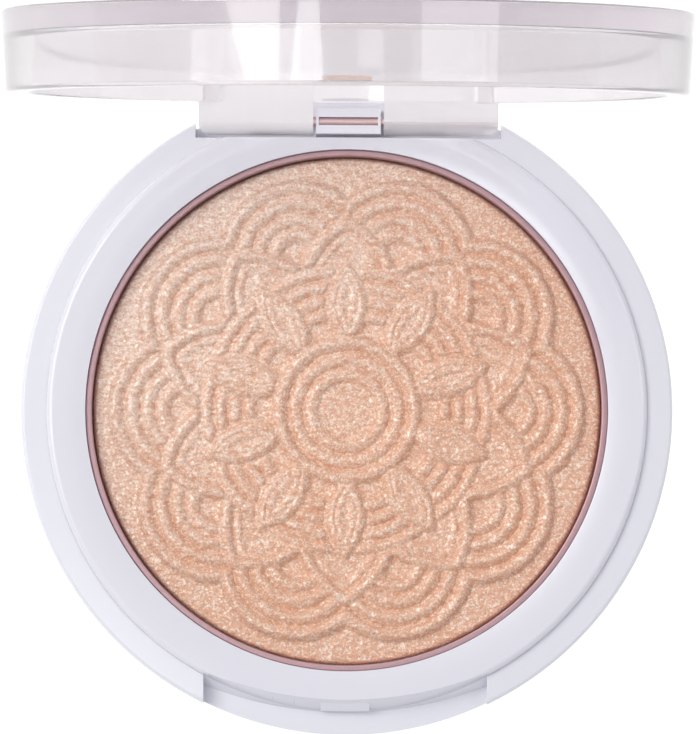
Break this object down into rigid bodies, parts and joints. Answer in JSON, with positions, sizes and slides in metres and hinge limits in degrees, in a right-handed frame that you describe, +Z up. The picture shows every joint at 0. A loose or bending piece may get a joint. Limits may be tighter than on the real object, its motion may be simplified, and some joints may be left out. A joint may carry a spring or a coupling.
{
  "type": "powder compact",
  "caption": "Round hinged compact: opaque base with a snapped-in tray and a metal pan of embossed pressed powder, under a clear flat lid that swings open at the back.",
  "frame": {"origin": "centre of the base's flat underside", "axes": "+Z up out of the powder, +Y towards the hinge at the back, +X to the right as seen from the thumb notch"},
  "size_m": [0.069, 0.0747, 0.0707],
  "materials": {
    "shell_plastic": "gloss",
    "tray_plastic": "gloss",
    "clear_plastic": "polished",
    "pan_metal": "satin",
    "pin_metal": "polished",
    "powder_cake": "satin",
    "glue": "satin",
    "label_paper": "matte"
  },
  "bodies": {
    "base": {"base_shell": "shell_plastic", "inner_tray": "tray_plastic", "powder_pan": "pan_metal", "pressed_powder": "powder_cake", "bottom_label": "label_paper", "glue_dot_1": "glue", "glue_dot_2": "glue", "glue_dot_3": "glue", "glue_dot_4": "glue", "hinge_pin": "pin_metal"},
    "lid": {"lid_shell": "clear_plastic"}
  },
  "joints": [
    {"name": "lid_hinge", "type": "hinge", "parent": "base", "child": "lid", "pos_m": [0, 0.0304, 0.0052], "axis": [-1, 0, 0], "range_deg": [-85, 10]}
  ]
}
